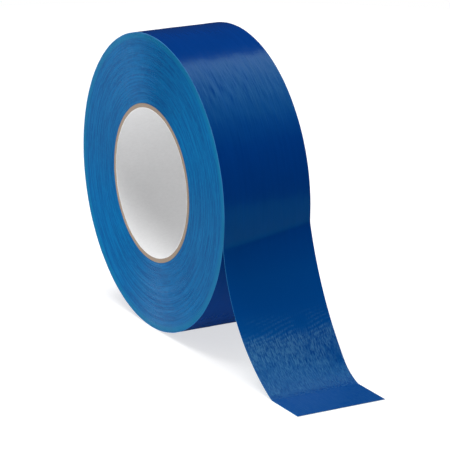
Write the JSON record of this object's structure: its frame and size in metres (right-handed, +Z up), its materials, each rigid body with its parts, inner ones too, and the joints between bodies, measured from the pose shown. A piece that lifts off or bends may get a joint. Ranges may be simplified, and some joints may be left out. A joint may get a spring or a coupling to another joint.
{
  "type": "cloth tape roll",
  "caption": "Roll of blue cloth tape on a paper core, standing on its rim, with its free end drawn off and laid flat.",
  "frame": {"origin": "on the floor under the roll's axis, where the rim rests, at the middle of the tape's width", "axes": "+Y along the roll's axis, +Z up, +X the way the free end runs out along the floor"},
  "size_m": [0.223, 0.048, 0.152],
  "materials": {
    "tape_film": "glossy polyethylene film over cloth, with the weave showing through",
    "tape_scrim": "thin open cotton and polyester cloth",
    "tape_adhesive": "tacky rubber adhesive, pale blue grey",
    "wound_tape": "cut edges of the wound turns, satin",
    "white_paper": "smooth white liner paper",
    "brown_board": "uncoated brown core board"
  },
  "bodies": {
    "roll": {"core_liner": "white_paper", "core_ply_1": "brown_board", "core_ply_2": "brown_board", "core_ply_3": "brown_board", "core_ply_4": "brown_board", "core_outer_ply": "brown_board", "wound_tape": "wound_tape"},
    "last_turn": {"last_turn_film": "tape_film", "last_turn_scrim": "tape_scrim", "last_turn_adhesive": "tape_adhesive"},
    "tail_upper": {"tail_upper_film": "tape_film", "tail_upper_scrim": "tape_scrim", "tail_upper_adhesive": "tape_adhesive"},
    "tail_lower": {"tail_lower_film": "tape_film", "tail_lower_scrim": "tape_scrim", "tail_lower_adhesive": "tape_adhesive"},
    "tail_end": {"tail_end_film": "tape_film", "tail_end_scrim": "tape_scrim", "tail_end_adhesive": "tape_adhesive"}
  },
  "joints": [
    {"name": "unwind", "type": "hinge", "parent": "roll", "child": "last_turn", "pos_m": [0, 0, 0.07595], "axis": [0, -1, 0], "continuous": true},
    {"name": "tail_lift", "type": "hinge", "parent": "last_turn", "child": "tail_upper", "pos_m": [0.07566, 0, 0.06799], "axis": [0, -1, 0], "range_deg": [0, 90]},
    {"name": "tail_flex", "type": "hinge", "parent": "tail_upper", "child": "tail_lower", "pos_m": [0.08936, 0, 0.03205], "axis": [0, -1, 0], "range_deg": [0, 60]},
    {"name": "end_fold", "type": "hinge", "parent": "tail_lower", "child": "tail_end", "pos_m": [0.1234, 0, 0.00012], "axis": [0, -1, 0], "range_deg": [0, 90]}
  ]
}
